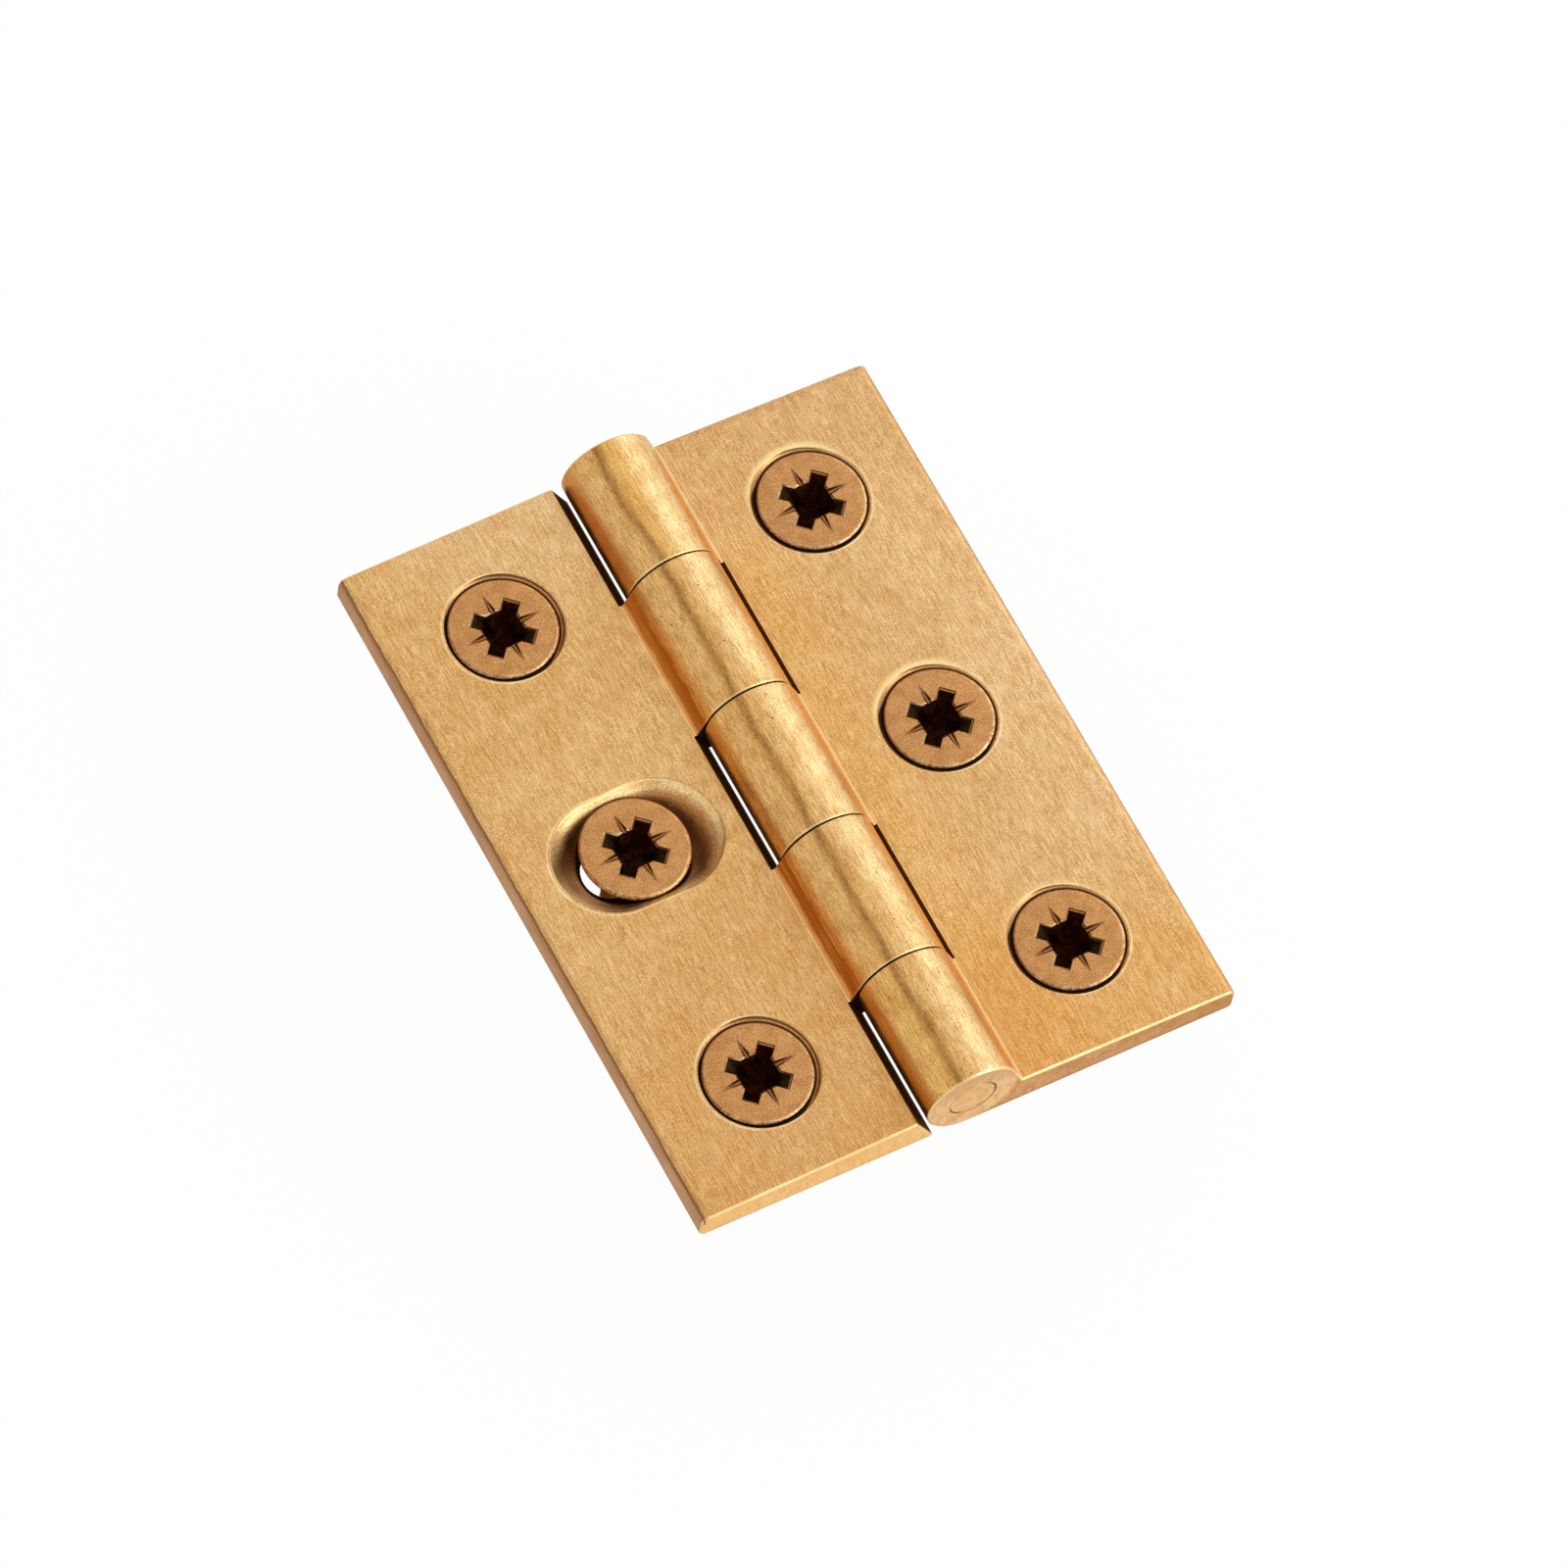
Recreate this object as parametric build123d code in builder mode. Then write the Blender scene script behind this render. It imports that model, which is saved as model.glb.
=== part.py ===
from build123d import *
from math import acos, atan2, cos, hypot, radians, sin, tan
import os

# A solid drawn brass butt hinge lying open, with its six countersunk screws. Millimetres.
# X runs across the leaves, Y along the pin and Z up from the backs of the leaves. The origin
# is on the backs, below the pin's axis and half way along the pin.

# The drawn bar that both leaves are cut from
leaf_length = 50.0
open_width = 38.0
barrel_radius = 3.15
root_thickness = 2.6
edge_thickness = 2.1
top_edge_radius = 0.6
back_edge_radius = 0.4

# Knuckles and the notches milled between them
knuckle_count = 5
end_knuckle_length = 9.4
knuckle_gap = 0.08
notch_clearance = 0.48
notch_lean = 27.5
root_margin = 0.15
knuckle_break = 0.08

# Ends of the leaves, and the one that was dressed with a file
end_break = 0.12
dressed_run = 0.45
dressed_drop = 0.1

# Pin, pressed into the frame leaf and turning in the door leaf
pin_radius = 1.65
pin_clearance = 0.05
pin_break = 0.1

# Countersunk holes, three in each leaf, with a slot in the middle of the door leaf
hole_inset = 7.6
hole_reach = 11.1
hole_radius = 1.9
sink_radius = 3.92
sink_angle = 90.0
slot_reach = 10.7
slot_travel = 3.2
slot_sink_radius = 4.12

# Countersunk wood screws
head_radius = 3.6
head_land = 0.25
head_break = 0.1
head_clearance = 0.02
screw_length = 16.0
neck_radius = 1.3
neck_length = 4.0
shank_radius = 1.75
point_length = 3.0
point_radius = 0.25

# The cross recess in each screw, with its square core, and the four marks between its wings
wing_count = 4
wing_turn = 48.0
wing_width = 1.0
recess_span = 4.2
recess_depth = 1.9
floor_span = 1.9
core_span = 2.6
core_floor = 1.3
mark_start = 1.2
mark_end = 2.75
mark_width = 0.36
mark_depth = 0.12

# How far a cutter runs past the face that it starts from
overrun = 1.0

# Worked out from the sizes above
half_length = leaf_length / 2
half_width = open_width / 2
sink_flare = tan(radians(sink_angle / 2))
sink_rise = overrun / 2
middle_knuckle_length = (leaf_length - 2 * end_knuckle_length) / (knuckle_count - 2)
seams = [-half_length]
for seam in range(knuckle_count - 1):
    seams.append(-half_length + end_knuckle_length + seam * middle_knuckle_length)
seams.append(half_length)
frame_knuckles = range(0, knuckle_count, 2)
door_knuckles = range(1, knuckle_count, 2)
hole_pitch = half_length - hole_inset
hole_stations = (-hole_pitch, 0, hole_pitch)
core_inset = (core_span - core_floor) / 2

# Sections are drawn looking along the pin, with x away from it and y up
frame_section = Plane.XZ
door_section = Plane(origin=(0, 0, 0), x_dir=(-1, 0, 0), z_dir=(0, 1, 0))


def notch_reach(height):
    """How far the leaning face of a notch is from the pin's axis, at a height above the back."""
    lean = radians(notch_lean)
    across = barrel_radius + notch_clearance + (height - barrel_radius) * sin(lean)
    return across / cos(lean)


# The leaf's face starts just inside the notches, and the steep root goes up from there until
# it runs onto the barrel as a tangent
root_reach = notch_reach(root_thickness) - root_margin
leaf_slope = (root_thickness - edge_thickness) / (half_width - root_reach)
root_drop = root_thickness - barrel_radius
root_turn = atan2(root_drop, root_reach) + acos(barrel_radius / hypot(root_reach, root_drop))
root_tangent = (barrel_radius * cos(root_turn), barrel_radius * (1 + sin(root_turn)))


def leaf_top(reach):
    """Height of a leaf's upper face, which falls towards the outer edge."""
    return root_thickness - (reach - root_reach) * leaf_slope


def bar_section(section):
    """Outline of the drawn bar: a tapering leaf and a round barrel flush with its back."""
    with BuildSketch(section) as bar:
        with BuildLine():
            Polyline(
                (0, 0),
                (half_width, 0),
                (half_width, leaf_top(half_width)),
                (root_reach, root_thickness),
                root_tangent,
            )
            ThreePointArc(root_tangent, (-barrel_radius, barrel_radius), (0, 0))
        make_face()
        fillet(bar.vertices().group_by(Axis.X)[-1].sort_by(Axis.Y)[-1], top_edge_radius)
        fillet(bar.vertices().group_by(Axis.X)[-1].sort_by(Axis.Y)[0], back_edge_radius)
    return bar.sketch


def notch_section(section, station):
    """What a notch clears, drawn on the section plane moved along the pin to a station."""
    low = -overrun
    high = 2 * barrel_radius + overrun
    back = -barrel_radius - overrun
    with BuildSketch(section.offset(station * section.z_dir.Y)) as notch:
        with BuildLine():
            Polyline(
                (back, low),
                (notch_reach(low), low),
                (notch_reach(high), high),
                (back, high),
                close=True,
            )
        make_face()
    return notch.sketch


def cut_notches(section, others):
    """Mill a notch for each of the other leaf's knuckles, open at an end of the leaf."""
    for index in others:
        low = seams[index] - knuckle_gap / 2
        high = seams[index + 1] + knuckle_gap / 2
        if index == 0:
            low = low - overrun
        if index == knuckle_count - 1:
            high = high + overrun
        notch = notch_section(section, (low + high) / 2)
        extrude(notch, amount=(high - low) / 2, both=True, mode=Mode.SUBTRACT)


def bore_barrel(section, radius):
    """Drill the barrel from end to end."""
    with BuildSketch(section) as bore:
        with Locations((0, barrel_radius)):
            Circle(radius)
    extrude(bore.sketch, amount=half_length + overrun, both=True, mode=Mode.SUBTRACT)


def dress_end():
    """File a shallow bevel along the upper edge of the frame leaf's back end."""
    origin = (root_reach, half_length, root_thickness)
    with BuildSketch(Plane(origin=origin, x_dir=(0, 1, 0), z_dir=(1, 0, -leaf_slope))) as bevel:
        with BuildLine():
            Polyline(
                (-dressed_run, 0),
                (overrun, -dressed_drop * (1 + overrun / dressed_run)),
                (overrun, overrun),
                (-dressed_run, overrun),
                close=True,
            )
        make_face()
    extrude(bevel.sketch, amount=half_width, mode=Mode.SUBTRACT)


def break_edges(leaf):
    """Take the sharp edge off the ends of a leaf's knuckles, then off the ends of the leaf."""
    arcs = leaf.edges().filter_by(GeomType.CIRCLE)
    barrel_arcs = arcs.filter_by(lambda arc: abs(arc.radius - barrel_radius) < 1e-6)
    seam_arcs = barrel_arcs.filter_by_position(Axis.Y, -half_length, half_length, (False, False))
    chamfer(seam_arcs, knuckle_break)
    for end in (leaf.faces().sort_by(Axis.Y)[0], leaf.faces().sort_by(Axis.Y)[-1]):
        chamfer(end.edges(), end_break)


def countersink(height, places, rim_radius):
    """Drill and countersink a leaf at places on it, to full size at a height above its back."""
    mouth_radius = rim_radius + sink_rise * sink_flare
    with Locations(*[(x, y, height + sink_rise) for x, y in places]):
        CounterSinkHole(hole_radius, mouth_radius, counter_sink_angle=sink_angle)


def mill_slot(height, centre):
    """Mill away what lies between the two ends of a countersunk slot."""
    mouth = slot_sink_radius + sink_rise * sink_flare
    throat = height - (slot_sink_radius - hole_radius) / sink_flare
    with BuildSketch(Plane.YZ.offset(centre)) as slot:
        with BuildLine():
            Polyline(
                (-hole_radius, -overrun),
                (hole_radius, -overrun),
                (hole_radius, throat),
                (mouth, height + sink_rise),
                (-mouth, height + sink_rise),
                (-hole_radius, throat),
                close=True,
            )
        make_face()
    extrude(slot.sketch, amount=slot_travel / 2, both=True, mode=Mode.SUBTRACT)


def screw_section(seat):
    """Half of a screw's outline, drawn down from the middle of its head's face."""
    with BuildSketch(Plane(seat.origin, x_dir=seat.x_dir, z_dir=-seat.y_dir)) as half:
        with BuildLine():
            Polyline(
                (0, 0),
                (head_radius - head_break, 0),
                (head_radius, -head_break),
                (head_radius, -head_land),
                (neck_radius, -head_land - (head_radius - neck_radius) / sink_flare),
                (neck_radius, -neck_length),
                (shank_radius, -neck_length),
                (shank_radius, point_length - screw_length),
                (point_radius, -screw_length),
                (0, -screw_length),
                close=True,
            )
        make_face()
    return half.sketch


def wing_section(seat, wing):
    """One pair of wings of the cross recess, seen from the side, narrowing towards its floor."""
    with BuildSketch(Plane(seat.origin, x_dir=wing, z_dir=wing.cross(seat.z_dir))) as pair:
        with BuildLine():
            Polyline(
                (-recess_span / 2, 0),
                (recess_span / 2, 0),
                (floor_span / 2, -recess_depth),
                (-floor_span / 2, -recess_depth),
                close=True,
            )
        make_face()
    return pair.sketch


def cut_core(seat):
    """The square core that the wings leave, with its sides across the angles between them."""
    turn = 180 / wing_count
    across = seat.x_dir.rotate(Axis.Z, turn)
    along = seat.y_dir.rotate(Axis.Z, turn)
    far = core_span - core_inset
    with Locations(Plane(seat.origin, x_dir=across, z_dir=along)):
        Wedge(
            core_span,
            recess_depth,
            core_span,
            core_inset,
            core_inset,
            far,
            far,
            align=(Align.CENTER, Align.MIN, Align.CENTER),
            mode=Mode.SUBTRACT,
        )


def recess_marks(seat):
    """The four pointed marks between the wings, which tell this recess from a plain cross."""
    with BuildSketch(seat) as marks:
        with PolarLocations(0, wing_count, start_angle=180 / wing_count):
            Polygon(
                (mark_start, -mark_width / 2),
                (mark_end, 0),
                (mark_start, mark_width / 2),
                align=None,
            )
    return marks.sketch


with BuildPart() as frame_leaf:
    extrude(bar_section(frame_section), amount=half_length, both=True)
    cut_notches(frame_section, door_knuckles)
    break_edges(frame_leaf)
    dress_end()
    bore_barrel(frame_section, pin_radius)
    countersink(leaf_top(hole_reach), [(hole_reach, station) for station in hole_stations], sink_radius)

with BuildPart() as door_leaf:
    extrude(bar_section(door_section), amount=half_length, both=True)
    cut_notches(door_section, frame_knuckles)
    break_edges(door_leaf)
    bore_barrel(door_section, pin_radius + pin_clearance)
    countersink(leaf_top(hole_reach), [(-hole_reach, -hole_pitch), (-hole_reach, hole_pitch)], sink_radius)
    slot_ends = [-slot_reach - slot_travel / 2, -slot_reach + slot_travel / 2]
    countersink(leaf_top(slot_reach), [(x, 0) for x in slot_ends], slot_sink_radius)
    mill_slot(leaf_top(slot_reach), -slot_reach)

with BuildPart() as hinge_pin:
    with BuildSketch(frame_section):
        with Locations((0, barrel_radius)):
            Circle(pin_radius)
    extrude(amount=half_length, both=True)
    chamfer(hinge_pin.edges().filter_by(GeomType.CIRCLE), pin_break)

frame_leaf.part.label = "frame_leaf"
door_leaf.part.label = "door_leaf"
hinge_pin.part.label = "hinge_pin"
parts = [frame_leaf.part, door_leaf.part, hinge_pin.part]

# Screws with their heads resting in the countersinks, all turned the same way
screw_places = {
    "frame_leaf_screw_front": (hole_reach, -hole_pitch, sink_radius),
    "frame_leaf_screw_middle": (hole_reach, 0, sink_radius),
    "frame_leaf_screw_back": (hole_reach, hole_pitch, sink_radius),
    "door_leaf_screw_front": (-hole_reach, -hole_pitch, sink_radius),
    "door_leaf_screw_middle": (-slot_reach, 0, slot_sink_radius),
    "door_leaf_screw_back": (-hole_reach, hole_pitch, sink_radius),
}
wing_direction = (cos(radians(wing_turn)), sin(radians(wing_turn)), 0)
for name, (x, y, rim_radius) in screw_places.items():
    rest = leaf_top(abs(x)) - (rim_radius - head_radius) / sink_flare + head_clearance
    seat = Plane(origin=(x, y, rest + head_land), x_dir=wing_direction, z_dir=(0, 0, 1))
    with BuildPart() as screw:
        revolve(screw_section(seat), axis=Axis(seat.origin, seat.z_dir))
        for wing in (seat.x_dir, seat.y_dir):
            extrude(wing_section(seat, wing), amount=wing_width / 2, both=True, mode=Mode.SUBTRACT)
        cut_core(seat)
        extrude(recess_marks(seat), amount=-mark_depth, mode=Mode.SUBTRACT)
    screw.part.label = name
    parts.append(screw.part)

os.makedirs("parts", exist_ok=True)
for part in parts:
    export_step(part, f"parts/{part.label}.step")
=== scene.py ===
import math

import bmesh
import bpy
from mathutils import Matrix, Vector


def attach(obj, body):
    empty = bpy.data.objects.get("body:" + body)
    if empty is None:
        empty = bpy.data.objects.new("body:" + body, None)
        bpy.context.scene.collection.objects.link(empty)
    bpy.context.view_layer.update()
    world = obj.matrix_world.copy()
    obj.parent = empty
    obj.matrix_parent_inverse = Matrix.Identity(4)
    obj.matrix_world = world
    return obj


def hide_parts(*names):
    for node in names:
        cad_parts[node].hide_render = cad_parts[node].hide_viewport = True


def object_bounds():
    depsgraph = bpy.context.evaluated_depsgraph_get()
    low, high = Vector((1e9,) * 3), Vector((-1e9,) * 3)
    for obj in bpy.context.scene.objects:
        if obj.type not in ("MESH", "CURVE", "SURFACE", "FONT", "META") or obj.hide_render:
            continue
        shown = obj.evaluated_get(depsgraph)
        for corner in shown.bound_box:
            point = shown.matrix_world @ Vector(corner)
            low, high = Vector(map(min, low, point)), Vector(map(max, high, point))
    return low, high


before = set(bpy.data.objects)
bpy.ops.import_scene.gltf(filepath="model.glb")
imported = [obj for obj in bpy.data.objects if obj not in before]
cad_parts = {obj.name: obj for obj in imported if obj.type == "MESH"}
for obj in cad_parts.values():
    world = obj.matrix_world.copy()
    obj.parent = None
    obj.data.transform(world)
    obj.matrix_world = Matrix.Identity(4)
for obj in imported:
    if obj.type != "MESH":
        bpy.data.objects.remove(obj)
cad_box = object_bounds()

MM = 0.001

# Camera
VIEW_TURN = math.radians(-37.72)
VIEW_RISE = math.radians(61.456)
VIEW_ROLL = math.radians(11.25)
VIEW_DISTANCE = 833.33 * MM
VIEW_SHIFT = (0.1345 * MM, 1.0153 * MM)
VIEW_LENS = 302.48
SENSOR_WIDTH = 36
NEAREST, FARTHEST = 0.01, 20


def add_camera():
    back = Vector((math.sin(VIEW_TURN) * math.cos(VIEW_RISE),
                   -math.cos(VIEW_TURN) * math.cos(VIEW_RISE),
                   math.sin(VIEW_RISE)))
    level = Vector((math.cos(VIEW_TURN), math.sin(VIEW_TURN), 0))
    upright = back.cross(level)
    right = level * math.cos(VIEW_ROLL) + upright * math.sin(VIEW_ROLL)
    up = upright * math.cos(VIEW_ROLL) - level * math.sin(VIEW_ROLL)
    place = back * VIEW_DISTANCE + right * VIEW_SHIFT[0] + up * VIEW_SHIFT[1]
    data = bpy.data.cameras.new("camera")
    data.lens = VIEW_LENS
    data.sensor_width = SENSOR_WIDTH
    data.clip_start = NEAREST
    data.clip_end = FARTHEST
    camera = bpy.data.objects.new("camera", data)
    bpy.context.scene.collection.objects.link(camera)
    matrix = Matrix((right, up, back)).transposed().to_4x4()
    matrix.translation = place
    camera.matrix_world = matrix
    bpy.context.scene.camera = camera


add_camera()


# Node helpers
class Tree:
    """A node tree that is written as nested calls."""

    def __init__(self, tree):
        self.tree = tree
        tree.nodes.clear()

    def add(self, kind, *inputs, **props):
        node = self.tree.nodes.new(kind)
        named = props.pop("named", {})
        for key, value in props.items():
            setattr(node, key, value)
        for index, value in enumerate(inputs):
            self.feed(node.inputs[index], value)
        for key, value in named.items():
            self.feed(node.inputs[key], value)
        return node

    def feed(self, socket, value):
        if isinstance(value, bpy.types.NodeSocket):
            self.tree.links.new(value, socket)
        elif isinstance(value, bpy.types.Node):
            self.tree.links.new(value.outputs[0], socket)
        else:
            socket.default_value = value

    def math(self, operation, *values):
        return self.add("ShaderNodeMath", *values, operation=operation).outputs[0]

    def plus(self, first, second):
        return self.math("ADD", first, second)

    def minus(self, first, second):
        return self.math("SUBTRACT", first, second)

    def times(self, first, second):
        return self.math("MULTIPLY", first, second)

    def either(self, first, second):
        return self.math("MAXIMUM", first, second)

    def both(self, *masks):
        """The product of all the masks."""
        result = masks[0]
        for mask in masks[1:]:
            result = self.times(result, mask)
        return result

    def inverse(self, mask):
        return self.minus(1, mask)

    def absolute(self, value):
        return self.math("ABSOLUTE", value)

    def apart(self, first, second):
        return self.absolute(self.minus(first, second))

    def distance(self, across, along):
        squares = self.plus(self.times(across, across), self.times(along, along))
        return self.math("SQRT", squares)

    def towards(self, direction, across, along):
        """How far a vector goes in a direction of the leaves' plane."""
        return self.plus(self.times(across, direction[0]), self.times(along, direction[1]))

    def sway(self, noise, amount):
        """A noise as a shift to both sides."""
        return self.times(self.minus(noise, 0.5), amount)

    def vector(self, operation, *values):
        node = self.add("ShaderNodeVectorMath", *values, operation=operation)
        return node.outputs["Value" if operation == "DOT_PRODUCT" else "Vector"]

    def scaled(self, vector, factors):
        return self.vector("MULTIPLY", vector, factors)

    def noise(self, vector, scale, detail, rough, warp=0.0):
        node = self.add("ShaderNodeTexNoise", vector, named={
            "Scale": scale, "Detail": detail, "Roughness": rough, "Distortion": warp})
        return node.outputs["Fac"]

    def span(self, value, low, high, to_low=0.0, to_high=1.0):
        """Goes smoothly from to_low to to_high while the value goes from low to high."""
        node = self.add("ShaderNodeMapRange", interpolation_type="SMOOTHSTEP",
                        named={"Value": value, "From Min": low, "From Max": high,
                               "To Min": to_low, "To Max": to_high})
        return node.outputs["Result"]

    def inside(self, value, edge, soft=0.05):
        """1 where the value is under the edge, 0 past it."""
        return self.span(value, edge - soft, edge + soft, 1, 0)

    def mix(self, factor, first, second, blend="MIX"):
        node = self.tree.nodes.new("ShaderNodeMix")
        node.data_type = "RGBA"
        node.blend_type = blend
        node.clamp_factor = True
        node.clamp_result = blend == "MULTIPLY"
        for index, value in ((0, factor), (6, first), (7, second)):
            self.feed(node.inputs[index], value)
        return node.outputs[2]


def colour(red, green, blue):
    """A colour given as it looks on a screen, 0 to 255."""
    def linear(value):
        value /= 255
        return value / 12.92 if value <= 0.04045 else ((value + 0.055) / 1.055) ** 2.4
    return (linear(red), linear(green), linear(blue), 1)


def material(name):
    new = bpy.data.materials.new(name)
    new.use_nodes = True
    return new, Tree(new.node_tree)


# Sizes the finishes follow, mm
BARREL_RADIUS = 3.15
PIN_RADIUS = 1.65
HOLE_REACH = 11.1
HOLE_PITCH = 17.4
SLOT_REACH = 10.7
SLOT_HALF_TRAVEL = 1.6
SLOT_SINK_RADIUS = 4.12
SINK_RADIUS = 3.92
SHANK_HOLE_RADIUS = 1.9
HEAD_RADIUS = 3.6
ROOT_REACH = 3.656
ROOT_THICKNESS = 2.6
EDGE_THICKNESS = 2.1
HALF_WIDTH = 19.0
HALF_LENGTH = 25.0
LEAF_SLOPE = (ROOT_THICKNESS - EDGE_THICKNESS) / (HALF_WIDTH - ROOT_REACH)
KNUCKLE_LENGTH = 10.4
CORNER_REACH = 4.5
CORNER_FORWARD = 21.5

# Reaches of the bevels, the crevices and the bumps of the shaders, m
LEAF_BEVEL = 0.09 * MM
LEAF_CREVICE = 1.2 * MM
SCREW_BEVEL = 0.08 * MM
SCREW_CREVICE = 0.9 * MM
BUMP_DEPTH = 0.02 * MM

# Directions in the plane of the leaves, named by where they point in the camera's view
UPPER_LEFT = (-0.26, 0.966)
LOWER_LEFT = (-0.93, -0.375)
LOWER_RIGHT = (0.26, -0.966)
UPPER_RIGHT = (0.75, 0.66)

# Colours of the leaves' faces
FRAME_DULL = colour(217, 170, 110)
FRAME_PALE = colour(226, 181, 124)
FRAME_OUTER = colour(231, 190, 138)
FRAME_INNER = colour(224, 167, 91)
FRAME_FRONT = colour(224, 167, 93)
FRAME_BACK = colour(212, 164, 108)
FRAME_CORNER = colour(220, 156, 84)
DOOR_DULL = colour(219, 168, 101)
DOOR_PALE = colour(226, 179, 116)
DOOR_BACK = colour(230, 190, 138)
DOOR_FRONT = colour(212, 155, 86)
STAIN = colour(208, 152, 88)
BARE = colour(240, 200, 138)
SCRATCH = colour(184, 132, 74)
SHINE = colour(252, 220, 160)
FLECK = colour(255, 228, 172)

# Colours of the barrel
BARREL_DULL = colour(232, 182, 110)
BARREL_PALE = colour(243, 205, 144)
BARREL_LEFT_SHADE = colour(230, 169, 96)
BARREL_RIGHT_REFLECTION = colour(231, 193, 139)
BARREL_GOLDEN_REFLECTION = colour(238, 180, 88)
BARREL_SMUDGE = colour(236, 222, 200)
BARREL_SPECK = colour(198, 146, 84)
BARREL_SCRATCH = colour(200, 148, 84)
BARREL_SHINE = colour(255, 226, 168)
DARK_REFLECTION_BAND = colour(186, 120, 50)
DARK_REFLECTION_STREAK = colour(152, 96, 40)
BACK_FLANK_SHADE = colour(176, 106, 46)
FRONT_FLANK_SHADE = colour(190, 130, 68)
DASH = colour(164, 108, 54)
PIT = colour(122, 72, 32)
SEAM_HIGHLIGHT = colour(255, 228, 168)
SEAM_AND_SHADE = colour(58, 26, 8)

# Colours of the roots, ends and long edges
FRAME_ROOT_HIGHLIGHT = colour(255, 230, 184)
ROOT_SHADE_DARK = colour(182, 112, 42)
ROOT_SHADE_LIGHT = colour(208, 144, 72)
ROOT_HIGHLIGHT_LINE = colour(254, 212, 150)
ROOT_RUBBED = colour(244, 184, 108)
FRAME_END = colour(214, 160, 106)
FRAME_END_DARK = colour(192, 132, 81)
FRAME_END_OUTER = colour(188, 128, 74)
FRAME_END_LOW = colour(176, 118, 70)
DISC_PALE = colour(240, 196, 142)
DISC_DULL = colour(216, 168, 116)
DISC_TOP = colour(206, 158, 108)
DOOR_END = colour(246, 198, 128)
DOOR_END_DARK = colour(240, 187, 114)
DOOR_END_LOW = colour(214, 158, 100)
SAWN = colour(176, 124, 80)
BROKEN_EDGE_WEAR_AND_HIGHLIGHT = colour(252, 220, 166)
LONG_EDGE = colour(190, 147, 110)
LONG_EDGE_DARK = colour(180, 133, 96)
LONG_EDGE_LINES = colour(158, 110, 72)
LONG_EDGE_BACK = colour(166, 118, 84)
EDGE_LINE = colour(134, 86, 46)

# Colours of the pin
PIN_PALE = colour(240, 196, 136)
PIN_DULL = colour(222, 176, 118)
PIN_SPECK = colour(180, 130, 84)

# Colours of the countersinks, the corners, the edges' wear, and the painted highlights and shade
WALL_DULL = colour(236, 184, 116)
WALL_BRIGHT = colour(255, 230, 166)
WALL_SPECK = colour(140, 90, 46)
WALL_DEEP_SHADE = colour(188, 116, 54)
ROUND_WALL = colour(210, 154, 98)
LAMP_SIDE = colour(198, 156, 106)
SLOT_RIM_HIGHLIGHT = colour(252, 206, 144)
RIM_SHADOW = colour(104, 50, 16)
SINK_RIM_HIGHLIGHT = colour(255, 230, 176)
RIM_CRESCENT_HIGHLIGHT = colour(253, 223, 158)
WORN_AND_HIGHLIGHT = colour(255, 232, 178)
SHADE = colour(92, 46, 14)
SHADE_DARK = colour(30, 12, 4)
BROWN = colour(120, 66, 26)
DOOR_NOTCH_SHADE = colour(84, 54, 24)
FRAME_NOTCH_SHADE = colour(92, 46, 16)


def leaf_top(reach):
    """The height of a leaf's face."""
    return ROOT_THICKNESS - (reach - ROOT_REACH) * LEAF_SLOPE


# Brass
def place_of(t, seed):
    """A seeded place for the noises, and the place on the object in mm."""
    place = t.vector("SCALE", t.tree.nodes.new("ShaderNodeTexCoord").outputs["Object"])
    place.node.inputs["Scale"].default_value = 1 / MM
    parts = t.add("ShaderNodeSeparateXYZ", place).outputs
    return t.vector("ADD", place, (seed, seed * 0.37, seed * 1.7)), parts


def facing_of(t):
    """The object's normal."""
    normal = t.tree.nodes.new("ShaderNodeTexCoord").outputs["Normal"]
    return t.add("ShaderNodeSeparateXYZ", normal).outputs


def worn_edges(t, amount):
    """1 along sharp edges, from how a rounded normal leaves the flat one, and the rounded one."""
    rounded = t.add("ShaderNodeBevel", amount, samples=4).outputs[0]
    flat = t.tree.nodes.new("ShaderNodeNewGeometry").outputs["Normal"]
    return t.span(t.vector("DOT_PRODUCT", rounded, flat), 0.999, 0.93), rounded


def crevices(t, reach):
    """1 in the open, less near other surfaces."""
    shade = t.add("ShaderNodeAmbientOcclusion", named={"Distance": reach}, samples=8)
    return shade.outputs["AO"]


def textured(t, shade, fine, low, high):
    """Fine darker and fuller, lighter and paler marks on a colour."""
    darker, lighter = (0.76, 0.68, 0.53, 1), (1.21, 1.33, 1.56, 1)
    return t.mix(1.0, shade, t.mix(t.span(fine, low, high), darker, lighter), "MULTIPLY")


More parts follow.
